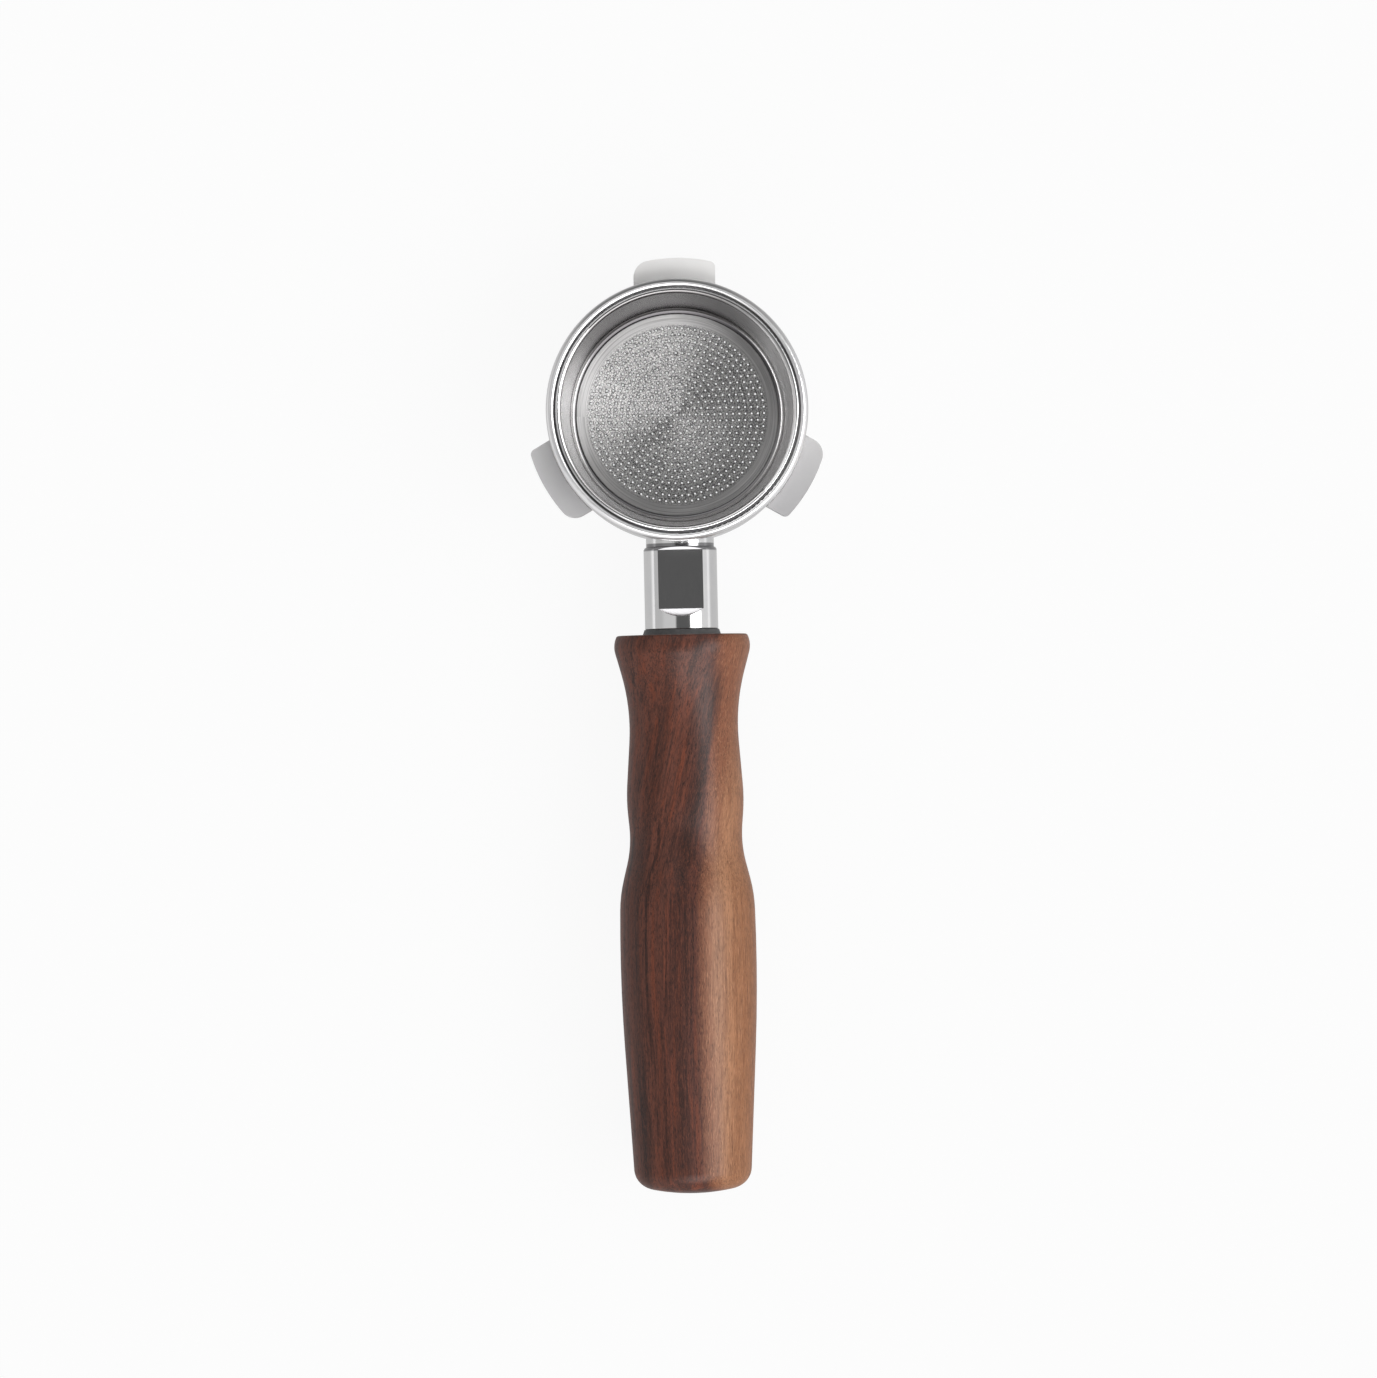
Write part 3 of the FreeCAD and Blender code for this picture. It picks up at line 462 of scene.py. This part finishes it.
def handle_wood():
    """Oiled walnut: dark heartwood with streaks, and a tan band of sapwood on one side."""
    material, sheet = new_sheet("look_walnut")
    x, y, z = sheet.place()
    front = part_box("handle")[1].y * MILLIMETRES

    # The trunk's rings run along the handle, but lean over towards its front end.
    straight_from, slope, bend = 57.0, 0.25, 45.0
    before = straight_from - (front - y)
    lean = (before + sheet.math("SQRT", before * before + bend)) * (slope / 2)
    wander = sheet.noise(sheet.vector(x * 0.03, y * 0.012, z * 0.03), 1.0, 2.0) - 0.5
    across = x - lean + wander * 3.0
    depth = z + wander * 2.0
    pith_x, pith_z = -60.0, -30.0

    def from_pith(share):
        """The distance from the trunk's centre, with this share of the lean."""
        beside = across + lean * (1.0 - share) - pith_x
        return sheet.length(beside, depth - pith_z)

    def streaks(width, length, detail=3.0, roughness=0.55, shift=0.0):
        """Noise that is this wide across the grain and this long along it, in millimetres."""
        point = sheet.vector(across / width + shift, y / length, depth / width)
        return sheet.noise(point, 1.0, detail, roughness)

    broad = streaks(9.0, 200.0, 2.0)
    bands = streaks(2.3, 150.0, 3.0, 0.6, 17.0)
    strands = streaks(0.8, 60.0, 3.0, 0.6, 61.0)
    fibres = streaks(0.38, 9.0, 3.0, 0.6, 31.0)
    hairs = streaks(0.16, 3.0, 2.0, 0.6, 47.0)
    rings = sheet.math("SINE", from_pith(1.0) * 1.3 + bands * 7.0) * 0.5 + 0.5

    # Heartwood: brown, with near-black and reddish streaks.
    darkening = sheet.step(from_pith(0.8), 52.0, 63.0) * 0.8 + sheet.step(broad, 0.40, 0.62) * 0.2
    brown = sheet.blend(darkening, display(96, 56, 44), display(64, 36, 30))
    black = display(36, 20, 17)
    red = display(112, 56, 36)
    heart = sheet.blend(sheet.step(bands, 0.53, 0.66) * 0.65, brown, red)
    heart = sheet.blend(sheet.step(strands, 0.53, 0.68) * 0.50, heart, red)
    heart = sheet.blend(sheet.step(strands, 0.49, 0.34) * 0.65, heart, black)
    heart = sheet.blend(sheet.step(bands, 0.46, 0.35) * 0.85, heart, black)
    heart = sheet.blend(rings * 0.22, heart, black)
    outer_ring = sheet.between(from_pith(0.8) + (bands - 0.5) * 4.0, 60.4, 63.0, 1.2)
    heart = sheet.blend(outer_ring * 0.40, heart, black)
    inner_ring = sheet.between(from_pith(1.0) + (bands - 0.5) * 3.0, 48.6, 51.8, 1.0)
    heart = sheet.blend(inner_ring * 0.55, heart, black)

    # Sapwood: tan, with a reddish edge against the heartwood.
    sap = sheet.blend(sheet.step(bands, 0.35, 0.65), display(130, 90, 63), display(148, 106, 77))
    sap = sheet.blend(sheet.step(from_pith(0.4), 67.2, 71.2), display(108, 68, 46), sap)
    sap = sheet.blend(rings * 0.25, sap, display(106, 66, 43))
    sap = sheet.blend(sheet.step(strands, 0.50, 0.34) * 0.30, sap, display(98, 60, 40))
    # Painted shade: the sapwood is painted darker towards the right side of the handle, where the
    # light falls off.
    sap = sheet.blend(sheet.step(across, 7.0, 13.0) * 0.6, sap, display(116, 72, 43))
    sap = sheet.blend(sheet.step(before, -5.0, 50.0) * 0.7, sap, display(104, 62, 44))
    edge = from_pith(0.4) + (fibres - 0.5) * 1.4 + (bands - 0.5) * 3.0
    sap_share = sheet.step(edge, 65.6, 68.2)
    rim_share = sheet.step(edge, 65.2, 67.4) * sheet.step(edge, 71.0, 67.8)
    wood = sheet.blend(sap_share, heart, sap)
    wood = sheet.blend(rim_share * 0.40, wood, display(104, 58, 38))

    # Fibres, specks and pores.
    wood = sheet.blend(sheet.step(fibres, 0.42, 0.70) * 0.42, wood, display(36, 20, 16))
    light_hair = sheet.blend(sap_share, display(112, 64, 46), display(174, 126, 94))
    wood = sheet.blend(sheet.step(hairs, 0.50, 0.74) * 0.45, wood, light_hair)
    specks = streaks(0.32, 1.4, 2.0, 0.8, 73.0)
    seen = 1.0 - sap_share * 0.7
    wood = sheet.blend(sheet.step(specks, 0.50, 0.34) * seen * 0.40, wood, display(34, 19, 15))
    wood = sheet.blend(sheet.step(specks, 0.52, 0.68) * seen * 0.25, wood, light_hair)
    pore_place = sheet.vector(across / 0.34, y / 1.8, depth / 0.34)
    pores = sheet.step(sheet.cells(pore_place), 0.32, 0.14)
    wood = sheet.blend(pores * (0.75 - 0.35 * sap_share), wood, display(22, 12, 10))

    relief = pores * -1.0 + fibres * 0.35 + hairs * 0.2
    sheet.surface(
        Base_Color=wood,
        Roughness=0.50 + (fibres - 0.5) * 0.16 + pores * 0.2,
        Specular_IOR_Level=0.16,
        Coat_Weight=0.20,
        Coat_Roughness=0.30 + (hairs - 0.5) * 0.1,
        Normal=sheet.bump(relief, 0.03),
    )
    return material


# ---------------------------------------------------------------- studio

FLOOR_LIGHT = display(250, 250, 250)[0]
FLOOR_CENTRE_Y = -0.07
CEILING_LIGHT = 0.11
BACK_LIGHT = 0.9
STRIP_LIGHT = 3.0
MIDDLE_STRENGTH = 5.5
WHITE = (1.0, 1.0, 1.0)
# Azimuth in degrees, from the right and anticlockwise seen from above, and brightness there.
MIDDLE_LIGHT = (
    (0, 0.85), (12, 0.50), (25, 0.16), (40, 0.05), (75, 0.05), (92, 0.10), (118, 0.13),
    (150, 0.17), (180, 0.12), (195, 0.06), (228, 0.07), (245, 0.36), (268, 0.9), (348, 1.0),
    (360, 0.85),
)
LOW_LIGHT = (
    (0, 0.8), (40, 0.45), (62, 0.25), (72, 0.05), (130, 0.05), (145, 0.5), (205, 0.6),
    (212, 0.95), (268, 0.95), (278, 0.12), (300, 0.3), (314, 0.9), (360, 0.8),
)


def build_world():
    """A studio around the object, seen in its steel. The camera itself sees plain white."""
    world = bpy.data.worlds.new("studio")
    bpy.context.scene.world = world
    world.use_nodes = True
    sheet = Sheet(world.node_tree)
    x, y, z = sheet.parts(sheet.add("ShaderNodeTexCoord", {}, "Generated"))
    # The room's brightness by azimuth, halfway up and near the horizon.
    turn = sheet.math("FRACT", sheet.math("ARCTAN2", y, x) / (2 * math.pi) + 1.0)
    middle = sheet.graph(turn, [(azimuth / 360, light) for azimuth, light in MIDDLE_LIGHT])
    middle = middle * MIDDLE_STRENGTH
    low = sheet.graph(turn, [(azimuth / 360, light) for azimuth, light in LOW_LIGHT])
    is_low = sheet.step(z, 0.60, 0.38)
    room = middle * (1.0 - is_low) + low * is_low

    # The dark ceiling around the camera, a little to the right.
    aside = x - 0.10
    from_camera = sheet.length(aside, y)
    is_ceiling = sheet.step(from_camera, 0.46, 0.34) * sheet.step(z, 0.0, 0.1)
    room = room * (1.0 - is_ceiling) + is_ceiling * CEILING_LIGHT

    # A soft light high up at the back.
    is_back = sheet.step(y, 0.25, 0.45) * sheet.between(from_camera, 0.52, 0.72, 0.05)
    room = room + is_back * BACK_LIGHT

    # A strip light halfway up on the right.
    rightwards = sheet.math("MAXIMUM", x, 0.001)
    rise = z / rightwards
    swing = y / rightwards
    strip = sheet.between(rise, 0.50, 1.05, 0.10) * sheet.between(swing, -0.55, 0.55, 0.15)
    strip = strip * sheet.step(x, 0.0, 0.1)
    light = room + strip * STRIP_LIGHT

    is_camera = sheet.add("ShaderNodeLightPath", {}, "Is Camera Ray")
    strength = light * (1.0 - is_camera) + is_camera * FLOOR_LIGHT
    shader = sheet.add("ShaderNodeBackground", {"Color": WHITE, "Strength": strength})
    sheet.output("ShaderNodeOutputWorld", shader)


def floor_paper():
    """White paper with a faint shadow. From below it cannot be seen."""
    material, sheet = new_sheet("look_floor")
    is_camera = sheet.add("ShaderNodeLightPath", {}, "Is Camera Ray")
    # The paper reflects this little, so that the object's shadow on it is faint. The rest glows.
    shown = 0.03
    # In the steel the floor's glow is painted brighter far out to the sides, and darker behind the
    # ring as a painted shadow.
    x, y = sheet.place()[:2]
    is_far = sheet.step(sheet.math("ABSOLUTE", x), 60.0, 140.0)
    is_behind_shadow = sheet.step(y, 110.0, 190.0)
    reflected = (0.57 + is_far * 0.38) * (1.0 - is_behind_shadow * 0.7)
    glow = is_camera * (FLOOR_LIGHT - shown) + (1.0 - is_camera) * reflected
    glow_shader = sheet.add("ShaderNodeEmission", {"Color": WHITE, "Strength": glow})
    speckle = sheet.noise(sheet.add("ShaderNodeTexCoord", {}, "Object"), 600.0, 2.0)
    paper = sheet.blend(speckle, (shown, shown, shown), (shown * 1.1, shown * 1.1, shown * 1.1))
    paper_shader = sheet.add("ShaderNodeBsdfDiffuse", {"Color": paper})
    both = sheet.add("ShaderNodeAddShader", {0: glow_shader, 1: paper_shader})
    see_through = sheet.add("ShaderNodeBsdfTransparent", {})
    from_below = sheet.add("ShaderNodeNewGeometry", {}, "Backfacing")
    shader = sheet.add("ShaderNodeMixShader", {0: from_below, 1: both, 2: see_through})
    sheet.output("ShaderNodeOutputMaterial", shader)
    return material


def build_floor(radius=0.6):
    """A disc of paper that the object stands on."""
    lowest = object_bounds()[0].z
    bpy.ops.mesh.primitive_circle_add(
        vertices=96, radius=radius, fill_type="NGON", location=(0.0, FLOOR_CENTRE_Y, lowest)
    )
    floor = bpy.context.object
    floor.name = "floor"
    floor.data.materials.append(floor_paper())


CAMERA_PLACE = (0.00135, -0.0672, 1.146)
CAMERA_ROLL = math.radians(-1.2)
CAMERA_LENS = 124.75
CAMERA_SENSOR = 36.0


def build_camera():
    """A camera high above the object that looks straight down."""
    data = bpy.data.cameras.new("camera")
    data.lens = CAMERA_LENS
    data.sensor_width = CAMERA_SENSOR
    data.clip_end = 10.0
    camera = bpy.data.objects.new("camera", data)
    camera.location = CAMERA_PLACE
    camera.rotation_euler = (0.0, 0.0, CAMERA_ROLL)
    bpy.context.scene.collection.objects.link(camera)
    bpy.context.scene.camera = camera


bpy.context.scene.view_settings.view_transform = "Standard"
paint("filter_holder", ring_steel())
paint("filter_basket", basket_steel())
paint("basket_spring", wire_steel())
paint("neck", neck_steel())
paint("handle_stud", stud_steel())
paint("handle_insert", insert_brass())
paint("handle_washer", washer_rubber())
paint("handle", handle_wood())
build_world()
build_floor()
build_camera()
